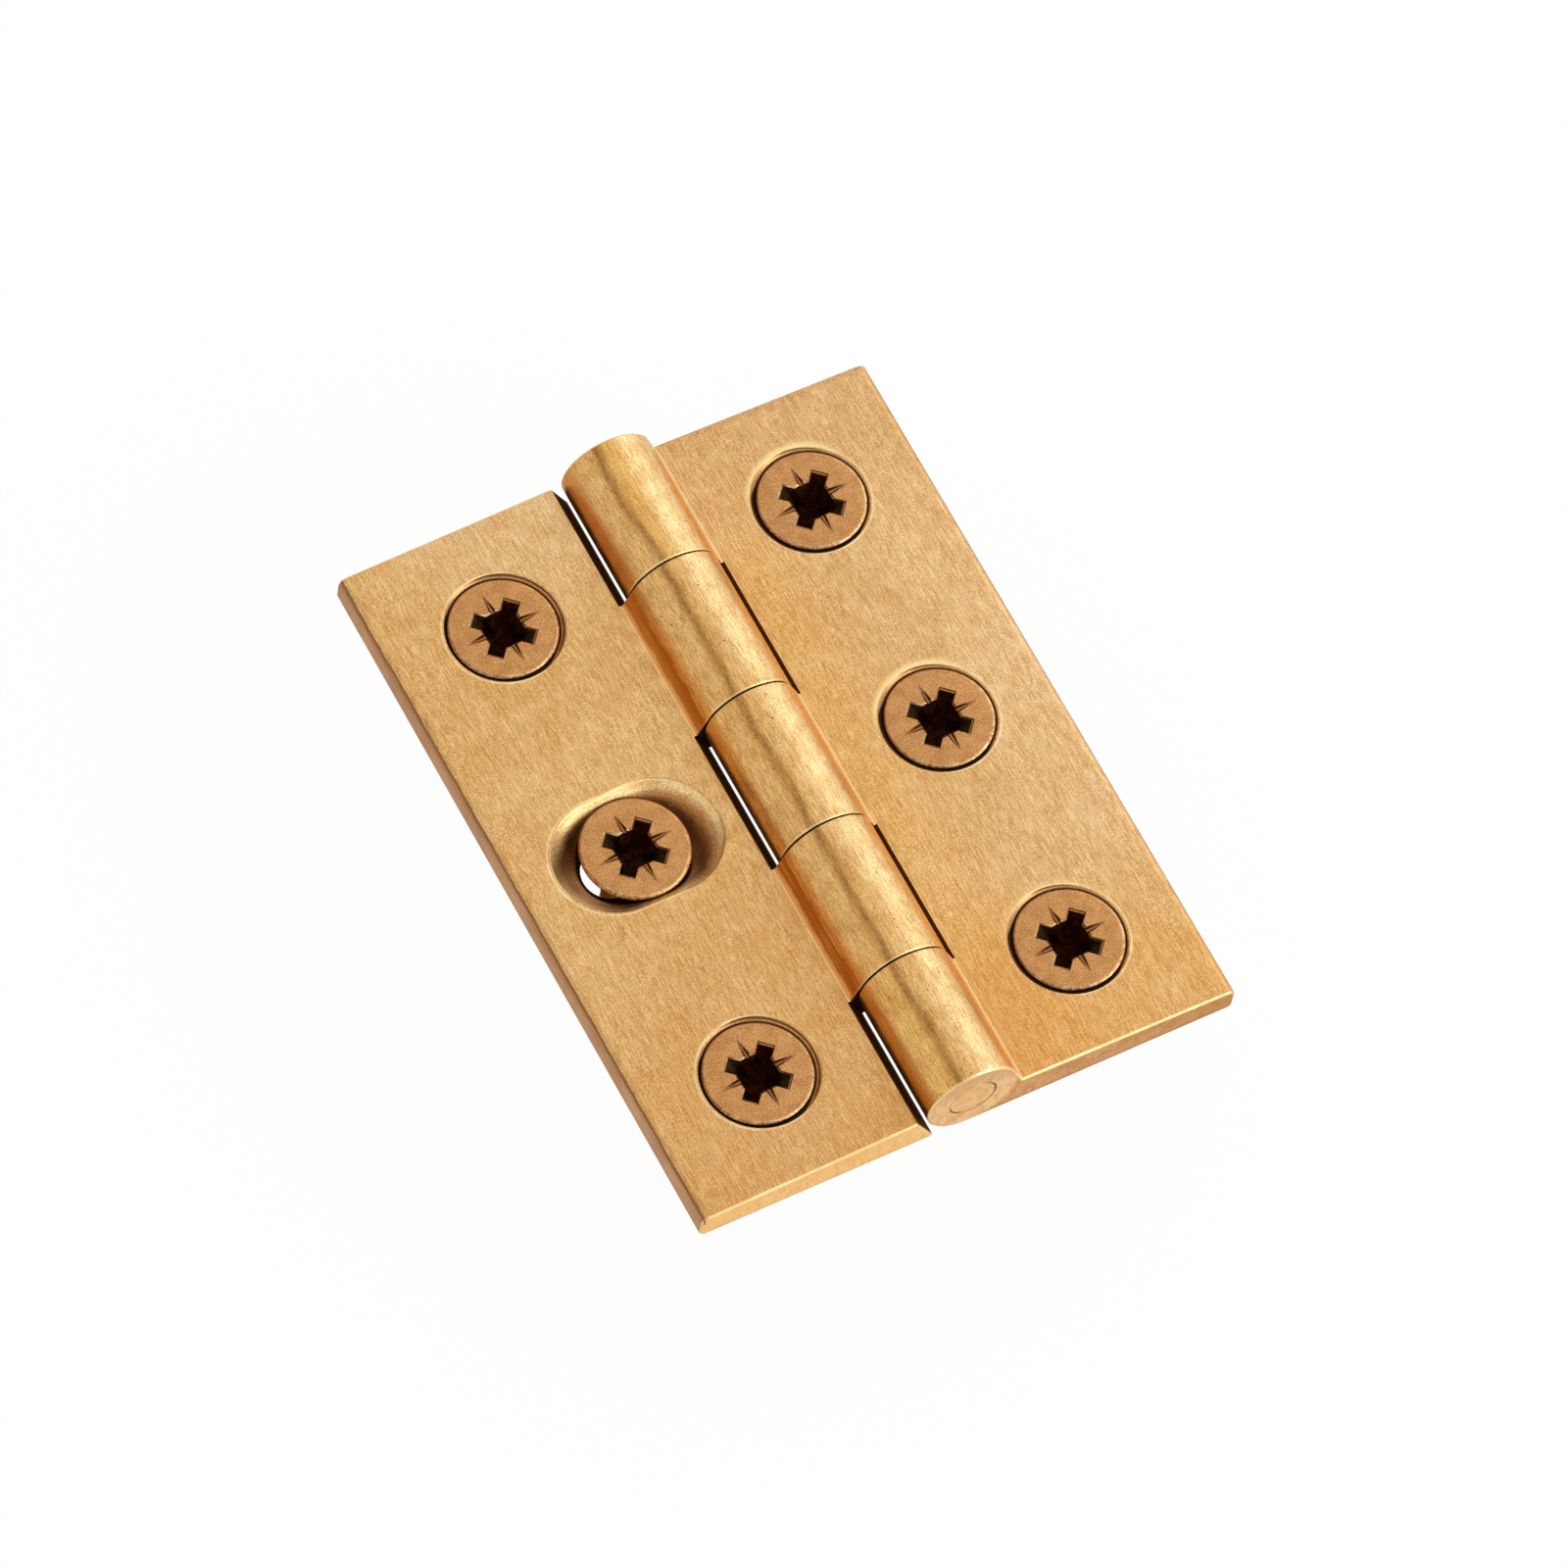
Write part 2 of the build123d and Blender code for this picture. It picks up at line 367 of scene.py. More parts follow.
class Leaf:
    """The places, noises and masks that the finishes of one leaf share, in mm and degrees.

    side is 1 for the frame leaf, on +X, and -1 for the door leaf. reach is how far a place is
    from the pin's axis across the leaf, turn its angle round that axis from the top.
    """

    def __init__(self, t, seed, side, slotted):
        self.t = t
        self.side = side
        self.slotted = slotted
        self.place, (self.x, self.y, self.z) = place_of(t, seed)
        self.nx, self.ny, self.nz = facing_of(t)
        self.reach = t.times(self.x, side)
        self.outward = t.times(self.nx, side)
        self.add_noises()
        self.add_barrel()
        self.ends = t.span(t.absolute(self.ny), 0.8, 0.95)
        self.add_sinks()

    def add_noises(self):
        """What the patina, the brushing and the pits come from."""
        t, place = self.t, self.place
        self.cloud = t.noise(t.scaled(place, (1, 0.7, 1)), 0.2, 4, 0.55, 0.6)
        self.blotch = t.noise(place, 0.7, 2, 0.5, 0.3)
        self.speck = t.noise(place, 4.6, 2, 0.6)
        self.dust = t.noise(place, 10.0, 1, 0.5)
        self.hair = t.noise(t.scaled(place, (14.0, 1.0, 14.0)), 1.0, 1, 0.5)
        self.fine = t.plus(t.times(self.hair, 0.5), t.times(self.dust, 0.5))
        grain = t.noise(t.scaled(place, (9.0, 0.2, 9.0)), 1.0, 3, 0.7)
        slanted = t.add("ShaderNodeVectorRotate", place, rotation_type="Z_AXIS",
                        named={"Angle": 0.3}).outputs[0]
        hatch = t.noise(t.scaled(slanted, (10.0, 0.3, 10.0)), 1.0, 3, 0.6)
        hatched = t.span(t.noise(place, 0.28, 2, 0.5), 0.42, 0.58)
        self.lines = t.plus(grain, t.sway(hatch, hatched))

    def add_barrel(self):
        """Where a place is round the pin, and whether it is on the barrel."""
        t = self.t
        height = t.minus(self.z, BARREL_RADIUS)
        self.from_pin = t.distance(self.x, height)
        self.turn = t.times(t.math("ARCTAN2", self.x, height), 180 / math.pi)
        self.barrel = t.both(t.inside(self.from_pin, BARREL_RADIUS + 0.05, 0.03),
                             t.inside(t.absolute(self.x), BARREL_RADIUS + 0.02, 0.02),
                             t.span(self.z, 1.2, 1.8))

    def add_sinks(self):
        """How far a place is from the nearest hole's centre, inside its rim and below the face.

        middle is 1 for the middle hole of the door leaf, the slot.
        """
        t = self.t
        fold = t.apart(t.absolute(self.y), HOLE_PITCH / 2)
        self.hole_across = t.minus(self.reach, HOLE_REACH)
        from_hole = t.distance(self.hole_across, t.minus(HOLE_PITCH / 2, fold))
        rim = SINK_RADIUS
        if self.slotted:
            slot_across = t.minus(t.apart(self.reach, SLOT_REACH), SLOT_HALF_TRAVEL)
            from_slot = t.distance(t.either(slot_across, 0), self.y)
            self.middle = t.inside(t.absolute(self.y), HOLE_PITCH / 2, 0.01)
            from_hole = t.plus(t.times(from_slot, self.middle),
                               t.times(from_hole, t.inverse(self.middle)))
            rim = t.plus(SINK_RADIUS, t.times(self.middle, SLOT_SINK_RADIUS - SINK_RADIUS))
        self.from_hole = from_hole
        self.short = t.minus(rim, from_hole)
        self.depth = t.minus(t.minus(ROOT_THICKNESS + ROOT_REACH * LEAF_SLOPE, self.z),
                             t.times(self.reach, LEAF_SLOPE))
        self.sunk = t.both(t.span(self.short, -0.03, 0.03), t.span(self.depth, 0.01, 0.04),
                           t.span(self.nz, -0.5, -0.3),
                           t.inside(t.absolute(self.ny), 0.999, 0.0005))


def flat_faces(s):
    """The leaf's patina, brushing and flecks, paler and warmer by parts."""
    t = s.t
    if s.side > 0:
        face = t.mix(t.span(s.cloud, 0.36, 0.64), FRAME_DULL, FRAME_PALE)
        outer = t.both(t.span(s.reach, 12, 16), t.span(t.absolute(s.y), 17, 9), 0.45)
        face = t.mix(outer, face, FRAME_OUTER)
        face = t.mix(t.span(s.reach, 11, 5, 0, 0.62), face, FRAME_INNER)
        front = t.span(t.plus(s.y, t.times(s.cloud, 6)), -8, -18, 0, 0.6)
        face = t.mix(front, face, FRAME_FRONT)
        face = t.mix(t.span(s.y, 13, 23, 0, 0.6), face, FRAME_BACK)
    else:
        face = t.mix(t.span(s.cloud, 0.36, 0.64), DOOR_DULL, DOOR_PALE)
        back = t.both(t.span(s.y, 15, 22), t.span(s.reach, 16, 12), 0.5)
        face = t.mix(back, face, DOOR_BACK)
    face = t.mix(t.span(s.blotch, 0.5, 0.7, 0, 0.25), face, STAIN)
    face = t.mix(t.span(s.blotch, 0.3, 0.46, 0.25, 0), face, BARE)
    face = t.mix(t.span(s.lines, 0.34, 0.44, 0.12, 0), face, SCRATCH)
    face = t.mix(t.span(s.lines, 0.56, 0.66, 0, 0.18), face, SHINE)
    flecked = t.span(t.noise(s.place, 0.35, 3, 0.5), 0.48, 0.62)
    face = t.mix(t.both(t.span(s.dust, 0.58, 0.7), flecked, 0.25), face, FLECK)
    if s.side > 0:
        corner = t.distance(t.minus(s.reach, CORNER_REACH),
                            t.times(t.plus(s.y, CORNER_FORWARD), 0.8))
        corner = t.plus(corner, t.sway(s.cloud, 8))
        face = t.mix(t.span(corner, 0.5, 9, 0.6, 0), face, FRAME_CORNER)
    else:
        front = t.span(t.plus(s.y, t.times(s.cloud, 8)), 8, -22, 0, 0.5)
        face = t.mix(front, face, DOOR_FRONT)
    return textured(t, face, s.fine, 0.32, 0.68)


def barrel_face(s):
    """The barrel, with painted reflections paler over the top and on the right, painted shade on
    the left, and painted reflection bands near the ends.
    """
    t, turn = s.t, s.turn
    wander = t.sway(t.noise(s.place, 0.45, 4, 0.6), 40)
    # Painted reflection and shade: paler past the top, darker down the left flank, paler on the
    # right flank
    face = t.mix(t.span(t.plus(turn, wander), -14, 16), BARREL_DULL, BARREL_PALE)
    left = t.span(t.plus(turn, t.times(wander, 0.5)), -46, -84)
    face = t.mix(left, face, BARREL_LEFT_SHADE)
    face = t.mix(t.span(turn, 34, 62), face, BARREL_RIGHT_REFLECTION)
    # Painted reflection: golden bands at fixed angles near both ends of the barrel
    back = t.span(t.absolute(t.plus(turn, 5)), 4, 15, 0.5, 0)
    front = t.span(t.absolute(t.plus(turn, 40)), 5, 18, 0.4, 0)
    golden_reflection = t.plus(t.both(t.span(s.y, 13, 18), back), t.both(t.span(s.y, -13, -18), front))
    face = t.mix(golden_reflection, face, BARREL_GOLDEN_REFLECTION)
    smudged = t.mix(1.0, face, BARREL_SMUDGE, "MULTIPLY")
    face = t.mix(t.span(s.blotch, 0.42, 0.66, 0, 0.4), face, smudged)
    face = t.mix(t.span(s.speck, 0.5, 0.68, 0, 0.15), face, BARREL_SPECK)
    face = t.mix(t.span(s.lines, 0.35, 0.6, 0.18, 0), face, BARREL_SCRATCH)
    face = t.mix(t.span(s.lines, 0.52, 0.8, 0, 0.18), face, BARREL_SHINE)
    face = textured(t, face, s.fine, 0.34, 0.66)
    return barrel_marks(s, face)


def barrel_marks(s, face):
    """Painted dark reflections along the barrel's left side, painted shade on its left flank near
    the ends, its short scratches and its pits.
    """
    t, turn, place = s.t, s.turn, s.place
    line = t.noise(t.scaled(place, (0.3, 0.22, 0.3)), 1.0, 2, 0.5)
    off_line = t.absolute(t.plus(t.plus(turn, t.sway(line, 24)), 20))
    patchy = t.noise(t.scaled(place, (1.2, 0.4, 1.2)), 1.0, 3, 0.6)
    # Painted dark reflection: a band and a speckled streak at a fixed angle left of the top, where
    # the tent's dark strip reflects
    band = t.both(t.span(off_line, 3, 13, 0.4, 0), t.span(patchy, 0.3, 0.6, 1, 0.4))
    face = t.mix(band, face, DARK_REFLECTION_BAND)
    reflection_streak = t.both(t.span(off_line, 0.5, 7.5, 0.75, 0), t.span(s.speck, 0.35, 0.6, 0.6, 1),
                    t.span(patchy, 0.38, 0.56, 0.35, 1))
    face = t.mix(reflection_streak, face, DARK_REFLECTION_STREAK)
    # Painted shade down the left flank near both ends
    back_flank = t.both(t.span(turn, -44, -66), t.span(s.y, 13, 18, 0, 0.6))
    face = t.mix(back_flank, face, BACK_FLANK_SHADE)
    front_flank = t.both(t.span(turn, -62, -76), t.span(s.y, -13, -18, 0, 0.5))
    face = t.mix(front_flank, face, FRONT_FLANK_SHADE)
    dash = t.noise(t.scaled(place, (7.5, 1.1, 7.5)), 1.0, 2, 0.55)
    dashed = t.span(t.noise(place, 0.33, 2, 0.5), 0.4, 0.58)
    face = t.mix(t.both(t.span(dash, 0.56, 0.68), dashed, 0.38), face, DASH)
    pits = t.span(t.noise(t.scaled(place, (1, 0.7, 1)), 5.0, 2, 0.6), 0.62, 0.7)
    pitted = t.span(t.noise(place, 0.4, 2, 0.5), 0.5, 0.62)
    return t.mix(t.both(pits, pitted, 0.8), face, PIT)


def with_root(s, face):
    """The fillet between barrel and leaf: a painted highlight on the frame leaf; on the door leaf
    painted shade, with a painted highlight line beside it and a light scratch.
    """
    t = s.t
    root = t.both(t.span(s.reach, 2.92, 3.08), t.inside(s.reach, 3.7, 0.06),
                  t.span(s.z, 2.45, 2.6))
    if s.side > 0:
        # Painted highlight along the frame leaf's fillet
        return t.mix(root, face, FRAME_ROOT_HIGHLIGHT)
    waver = t.plus(s.reach, t.sway(t.noise(s.place, 0.6, 3, 0.6), 0.2))
    drawn = t.noise(t.scaled(s.place, (4.0, 0.16, 4.0)), 1.0, 3, 0.6)
    # Painted shade in the door leaf's fillet, streaked, with a painted highlight line at its leaf
    # side
    root_shade = t.mix(t.span(drawn, 0.4, 0.62), ROOT_SHADE_DARK, ROOT_SHADE_LIGHT)
    face = t.mix(root, face, t.mix(t.span(waver, 3.42, 3.58), root_shade, ROOT_HIGHLIGHT_LINE))
    band = t.span(t.apart(waver, 3.06), 0.02, 0.06, 0.6, 0)
    return t.mix(t.both(root, band, t.span(s.blotch, 0.45, 0.55)), face, ROOT_RUBBED)


def with_ends(s, face):
    """The ends as sawn and filed, and their broken edges, bright from wear and from a painted
    highlight.
    """
    t = s.t
    blotch = t.noise(t.scaled(s.place, (1, 1, 0.6)), 1.7, 4, 0.65, 0.8)
    saw = t.noise(t.scaled(s.place, (3.5, 3.5, 1.0)), 1.0, 4, 0.65, 0.4)
    if s.side > 0:
        end = t.mix(t.span(blotch, 0.38, 0.66), FRAME_END, FRAME_END_DARK)
        end = t.mix(t.span(s.reach, 9, 17, 0, 0.5), end, FRAME_END_OUTER)
        end = t.mix(t.span(s.z, 0.6, 0.05), end, FRAME_END_LOW)
        disc = t.mix(t.span(blotch, 0.4, 0.66), DISC_PALE, DISC_DULL)
        disc = t.mix(t.span(s.z, 3.6, 5.6, 0, 0.7), disc, DISC_TOP)
        end = t.mix(t.inside(s.from_pin, BARREL_RADIUS, 0.4), end, disc)
    else:
        end = t.mix(t.span(blotch, 0.38, 0.66), DOOR_END, DOOR_END_DARK)
        end = t.mix(t.span(s.z, 0.5, 0.05, 0, 0.6), end, DOOR_END_LOW)
    end = t.mix(t.span(saw, 0.55, 0.75, 0, 0.35), end, SAWN)
    end = textured(t, end, s.fine, 0.2, 0.8)
    ring = t.both(t.span(t.apart(s.from_pin, PIN_RADIUS), 0.02, 0.07, 0.9, 0),
                  t.span(s.x, -1.4, 1.0, 0.4, 1))
    face = t.mix(s.ends, face, t.mix(ring, end, BROWN))

    steep = t.absolute(s.ny)
    # Broken edges: wear, and a painted highlight along them
    broken = t.both(t.span(steep, 0.3, 0.5), t.span(steep, 0.92, 0.82),
                    t.span(t.absolute(s.y), HALF_LENGTH - 0.3, HALF_LENGTH - 0.15),
                    t.span(s.blotch, 0.3, 0.6, 1, 0.6))
    return t.mix(t.times(broken, 0.8), face, BROKEN_EDGE_WEAR_AND_HIGHLIGHT)


def with_long_edge(s, face):
    """The drawn long edge, and on the door leaf the dark line beside it."""
    t = s.t
    edge = t.both(t.span(s.outward, 0.66, 0.82), t.span(s.reach, 18.2, 18.6))
    drawn = t.mix(t.span(s.cloud, 0.4, 0.6), LONG_EDGE, LONG_EDGE_DARK)
    drawn = t.mix(t.span(s.lines, 0.4, 0.6, 0.35, 0), drawn, LONG_EDGE_LINES)
    drawn = t.mix(t.span(s.y, -4, 12, 0, 0.5), drawn, LONG_EDGE_BACK)
    face = t.mix(edge, face, drawn)
    if s.side < 0:
        line = t.apart(t.plus(s.reach, t.sway(s.blotch, 0.12)), 18.8)
        line = t.both(t.span(line, 0.03, 0.11, 0.85, 0), t.span(s.z, 1.3, 1.5))
        face = t.mix(line, face, EDGE_LINE)
    return face


def with_seams(s, face):
    """The knuckles' edges at the seams: a painted highlight on the chamfer above each joint, and
    the dark seam line, which painted shade deepens on the left.
    """
    t = s.t
    past = t.math("FLOORED_MODULO", t.plus(s.y, 2 * KNUCKLE_LENGTH), KNUCKLE_LENGTH)
    past = t.minus(past, KNUCKLE_LENGTH / 2)
    seamed = t.both(s.barrel, t.inside(t.absolute(s.y), HALF_LENGTH - 2))
    # Painted highlight on the chamfer above each seam, stronger on the left
    lip = t.both(t.span(past, 0.05, 0.08), t.inside(past, 0.17, 0.04), seamed,
                 t.span(s.turn, 40, -10, 0.2, 0.7), t.span(s.blotch, 0.3, 0.6, 1, 0.6))
    face = t.mix(lip, face, SEAM_HIGHLIGHT)
    # Dark seam line, with painted shade making it darker down the left flank
    seam = t.both(t.inside(t.absolute(past), 0.06, 0.02), seamed,
                  t.span(s.turn, 24, -50, 0.15, 0.95), t.span(s.y, 12, 14, 1, 0.4))
    return t.mix(seam, face, SEAM_AND_SHADE)


def slot_wall(s):
    """The turned wall of the slot's countersink, with painted shade deeper down."""
    t = s.t
    around = t.add("ShaderNodeCombineXYZ", t.times(s.from_hole, 11.0), t.times(s.y, 0.3),
                   t.times(s.x, 0.3))
    arcs = t.noise(around, 1.0, 4, 0.75)
    wall = t.mix(t.span(arcs, 0.38, 0.6), WALL_DULL, WALL_BRIGHT)
    wall = t.mix(t.span(s.speck, 0.55, 0.7, 0, 0.5), wall, WALL_SPECK)
    # Painted shade, darker further down the wall
    return t.mix(t.span(s.depth, 0.15, 1.0, 0, 0.85), wall, WALL_DEEP_SHADE)


def sink_wall(s):
    """The walls of the countersinks, duller where the front lamp would burn them out, with a
    painted highlight near the slot's rim on one side.
    """
    t = s.t
    wall = ROUND_WALL
    lamp_side = t.span(t.towards(LOWER_RIGHT, s.nx, s.ny), 0.2, 0.6, 0, 0.75)
    if s.slotted:
        round_hole = t.inverse(s.middle)
        wall = t.mix(round_hole, slot_wall(s), ROUND_WALL)
        # Painted highlight near the slot's rim, on the walls facing -X
        slot_rim_lit = t.both(s.middle, t.span(s.short, 0.4, 0.15, 0, 0.8), t.span(s.nx, -0.3, -0.6))
        wall = t.mix(slot_rim_lit, wall, SLOT_RIM_HIGHLIGHT)
        lamp_side = t.times(lamp_side, round_hole)
    wall = t.mix(lamp_side, wall, LAMP_SIDE)
    return textured(t, wall, s.fine, 0.3, 0.7)


def with_sinks(s, face):
    """The countersinks, a painted shadow line under their rims, a painted highlight ring round
    them, and on the frame leaf a painted highlight crescent.
    """
    t = s.t
    face = t.mix(s.sunk, face, sink_wall(s))
    # Painted shadow: a thin dark line just under the rim, on the walls facing lower left
    rim_shadow_line = t.both(s.sunk, t.inside(s.short, 0.12, 0.03),
                      t.span(t.towards(LOWER_LEFT, s.nx, s.ny), 0.0, 0.3, 0, 0.9))
    if s.slotted:
        rim_shadow_line = t.times(rim_shadow_line, t.inverse(s.middle))
    face = t.mix(rim_shadow_line, face, RIM_SHADOW)
    top = t.span(s.nz, 0.9, 0.95)
    # Painted highlight: a thin bright ring on the face just outside each rim
    painted_rim_line = t.both(t.span(t.absolute(t.plus(s.short, 0.04)), 0.03, 0.09, 0.85, 0), top,
                  t.span(s.blotch, 0.3, 0.6, 1, 0.5))
    face = t.mix(painted_rim_line, face, SINK_RIM_HIGHLIGHT)
    if s.side > 0:
        hole_along = t.math("FLOORED_MODULO", t.plus(s.y, 1.5 * HOLE_PITCH), HOLE_PITCH)
        hole_along = t.minus(hole_along, HOLE_PITCH / 2)
        upper_left = t.towards(UPPER_LEFT, s.hole_across, hole_along)
        # Painted highlight: a pale crescent outside the frame leaf's rims on their upper left
        glow = t.both(t.span(s.short, -0.55, -0.08), t.span(s.short, 0.02, -0.02),
                      t.span(upper_left, 1.2, 3.4), top, t.span(s.y, -9, -5, 0.3, 0.85))
        face = t.mix(glow, face, RIM_CRESCENT_HIGHLIGHT)
    return face


def painted_dark_shade(s, notch):
    """1 where shade is painted dark: in the notches, between the knuckles, round the screws and in
    the bores.
    """
    t = s.t
    meeting = t.both(s.ends, t.inside(t.absolute(s.y), HALF_LENGTH - 0.5))
    dark_shaded = t.either(notch, meeting)
    # Shifts the mask toward walls facing upper right, where the painted shade round the heads lies
    shade_shift = t.times(t.span(t.towards(UPPER_RIGHT, s.nx, s.ny), 0.0, 0.4), 0.3)
    snug = t.span(t.minus(s.from_hole, shade_shift), HEAD_RADIUS + 0.16, HEAD_RADIUS + 0.06)
    if s.slotted:
        head_off = t.minus(t.distance(t.minus(s.reach, SLOT_REACH), s.y), HEAD_RADIUS)
        clear = t.both(s.middle, t.span(head_off, 0.02, 0.3))
        snug = t.either(t.both(snug, t.inverse(s.middle)),
                        t.both(s.middle, t.inverse(clear), t.span(s.depth, 0.3, 0.5)))
    dark_shaded = t.either(dark_shaded, t.both(s.sunk, snug))
    bore = t.both(t.inside(s.from_hole, SHANK_HOLE_RADIUS + 0.3), t.span(s.depth, 1.5, 1.8),
                  t.inside(t.absolute(s.nz), 0.3, 0.1))
    return t.either(dark_shaded, bore)


def leaf_material(name, seed, side, slotted):
    brass, t = material(name)
    s = Leaf(t, seed, side, slotted)
    face = t.mix(s.barrel, flat_faces(s), barrel_face(s))
    for add in (with_root, with_ends, with_long_edge, with_seams, with_sinks):
        face = add(s, face)

    # Bright edges, partly wear and partly a painted highlight, and painted shade in the corners
    bright_edge, rounded = worn_edges(t, LEAF_BEVEL)
    open_air = crevices(t, LEAF_CREVICE)
    on_edge = t.both(bright_edge, t.span(open_air, 0.55, 0.8), t.span(s.blotch, 0.3, 0.6, 1, 0.45))
    face = t.mix(t.times(on_edge, 0.75), face, WORN_AND_HIGHLIGHT)
    shaded = t.span(open_air, 0.1, 0.7, 0.85, 0)
    if slotted:
        lit = t.both(s.sunk, s.middle, t.span(s.reach, 12.5, 14, 0.5, 0.85))
        shaded = t.times(shaded, t.inverse(lit))
    face = t.mix(shaded, face, t.mix(0.8, face, SHADE))

    notch = t.both(t.span(s.outward, -0.6, -0.8), t.inside(s.reach, 4.6),
                   t.span(s.from_pin, BARREL_RADIUS, BARREL_RADIUS + 0.2))
    dark_shaded = painted_dark_shade(s, notch)
    # Painted shade, near black, over that mask; it also dulls and roughens the metal there
    shade_colour = t.mix(notch, SHADE_DARK, DOOR_NOTCH_SHADE if side < 0 else FRAME_NOTCH_SHADE)
    face = t.mix(t.times(dark_shaded, 0.97), face, shade_colour)

    rough = t.plus(t.span(s.blotch, 0.3, 0.7, 0.34, 0.44), t.times(s.barrel, -0.05))
    rough = t.plus(rough, t.times(dark_shaded, 0.35))
    height = t.plus(t.times(s.lines, 0.8), t.times(s.hair, 0.4))
    bump = t.add("ShaderNodeBump", named={"Height": height, "Strength": 0.25,
                                          "Distance": BUMP_DEPTH, "Normal": rounded})
    finish(t, face, t.span(dark_shaded, 0.2, 0.9, 1, 0), rough, bump.outputs[0])
    return brass


def finish(t, face, metal, rough, normal):
    """Ends a material in the shader of polished metal."""
    shader = t.add("ShaderNodeBsdfPrincipled", named={
        "Base Color": face, "Metallic": metal, "Roughness": rough, "Normal": normal,
        "Specular IOR Level": 0.0, "Specular Tint": (1.0, 0.88, 0.7, 1.0)})
    t.add("ShaderNodeOutputMaterial", shader)


def pin_material():
    brass, t = material("pin_brass")
    place, (x, _, z) = place_of(t, 21.0)
    blotch = t.noise(place, 1.4, 4, 0.6, 0.6)
    speck = t.noise(place, 4.5, 4, 0.6)
    face = t.mix(t.span(blotch, 0.35, 0.65), PIN_PALE, PIN_DULL)
    face = t.mix(t.span(speck, 0.52, 0.7, 0, 0.45), face, PIN_SPECK)
    from_pin = t.distance(x, t.minus(z, BARREL_RADIUS))
    ring = t.both(t.span(from_pin, PIN_RADIUS - 0.14, PIN_RADIUS - 0.02, 0, 0.9),
                  t.span(x, -1.4, 1.0, 0.3, 1))
    face = t.mix(ring, face, BROWN)
    bump = t.add("ShaderNodeBump", named={"Height": speck, "Strength": 0.2,
                                          "Distance": BUMP_DEPTH})
    finish(t, face, 1.0, 0.4, bump.outputs[0])
    return brass


# Screws
SCREW_PLACES = {
    "frame_leaf_screw_front": (HOLE_REACH, -HOLE_PITCH, SINK_RADIUS),
    "frame_leaf_screw_middle": (HOLE_REACH, 0, SINK_RADIUS),
    "frame_leaf_screw_back": (HOLE_REACH, HOLE_PITCH, SINK_RADIUS),
    "door_leaf_screw_front": (-HOLE_REACH, -HOLE_PITCH, SINK_RADIUS),
    "door_leaf_screw_middle": (-SLOT_REACH, 0, SLOT_SINK_RADIUS),
    "door_leaf_screw_back": (-HOLE_REACH, HOLE_PITCH, SINK_RADIUS),
}
WING_TURN = math.radians(48)
HEAD_LAND = 0.25
HEAD_CLEARANCE = 0.02
HEAD_ROUND = 0.24
# The head's rounded edge, in from the rim and down from the face, as shares of HEAD_ROUND
HEAD_CURVE = ((0.62, 0.07), (0.29, 0.24), (0.08, 0.5), (0, 0.8))
LIP = 0.07
LIP_RISE = 0.1
SHARP_ANGLE = math.radians(35)
NECK_RADIUS = 1.3
NECK_LENGTH = 4.0
SHANK_RADIUS = 1.75
SCREW_LENGTH = 16.0
POINT_LENGTH = 3.0
POINT_RADIUS = 0.25
POINT_TOP = POINT_LENGTH + 0.3 - SCREW_LENGTH
TIP_RADIUS = 0.1
BODY_STEPS = 96
THREAD_ROOT = 1.2
THREAD_TOP = -NECK_LENGTH - 0.2
THREAD_END = 0.25 - SCREW_LENGTH
THREAD_PITCH = 1.35
THREAD_STEPS = 28
THREAD_RUN_IN = 0.6
THREAD_SUNK = 0.08
THREAD_FOOT = 0.34
THREAD_FLATTENED = 0.9
CREST_SHORT = 0.03
CREST_LEAST = 0.04
CREST_HALF = 0.045
CREST_DROP = 0.02
RECESS_DEPTH = 1.9
RECESS_RISE = 0.5
WING_HALF = 0.5
WING_REACH = 2.1
WING_FLOOR = 0.95
CORE_REACH = 1.3
CORE_FLOOR = 0.66
MARK_START = 1.15
MARK_END = 2.75
MARK_HALF = 0.18
MARK_DEPTH = 0.12
MARK_RISE = 0.2
EIGHTH_TURN = math.pi / 4
QUARTER_TURN = math.pi / 2


def turned(bm, outline, steps):
    """Turns an outline of (radius, height) points, from axis to axis, round the Z axis."""
    first = bm.verts.new((0, 0, outline[0][1]))
    last = bm.verts.new((0, 0, outline[-1][1]))
    rings = []
    for radius, height in outline[1:-1]:
        ring = []
        for step in range(steps):
            angle = 2 * math.pi * step / steps
            ring.append(bm.verts.new((radius * math.cos(angle), radius * math.sin(angle), height)))
        rings.append(ring)
    for step in range(steps):
        after = (step + 1) % steps
        bm.faces.new((first, rings[0][step], rings[0][after]))
        bm.faces.new((last, rings[-1][after], rings[-1][step]))
        for upper, lower in zip(rings, rings[1:]):
            bm.faces.new((upper[step], lower[step], lower[after], upper[after]))


def prism(bm, upper, lower):
    """A closed block between two outlines with as many corners each."""
    top = [bm.verts.new(corner) for corner in upper]
    bottom = [bm.verts.new(corner) for corner in lower]
    bm.faces.new(top)
    bm.faces.new(bottom[::-1])
    for step in range(len(top)):
        after = (step + 1) % len(top)
        bm.faces.new((top[after], top[step], bottom[step], bottom[after]))


def swung(x, y, turn):
    """A point turned round the Z axis."""
    return (x * math.cos(turn) - y * math.sin(turn), x * math.sin(turn) + y * math.cos(turn))


def rectangle(half_x, half_y, height, turn):
    corners = ((-half_x, -half_y), (half_x, -half_y), (half_x, half_y), (-half_x, half_y))
    return [(*swung(x, y, turn), height) for x, y in corners]


def mesh_object(name, build):
    bm = bmesh.new()
    build(bm)
    bmesh.ops.recalc_face_normals(bm, faces=bm.faces)
    mesh = bpy.data.meshes.new(name)
    bm.to_mesh(mesh)
    bm.free()
    new = bpy.data.objects.new(name, mesh)
    bpy.context.scene.collection.objects.link(new)
    return new


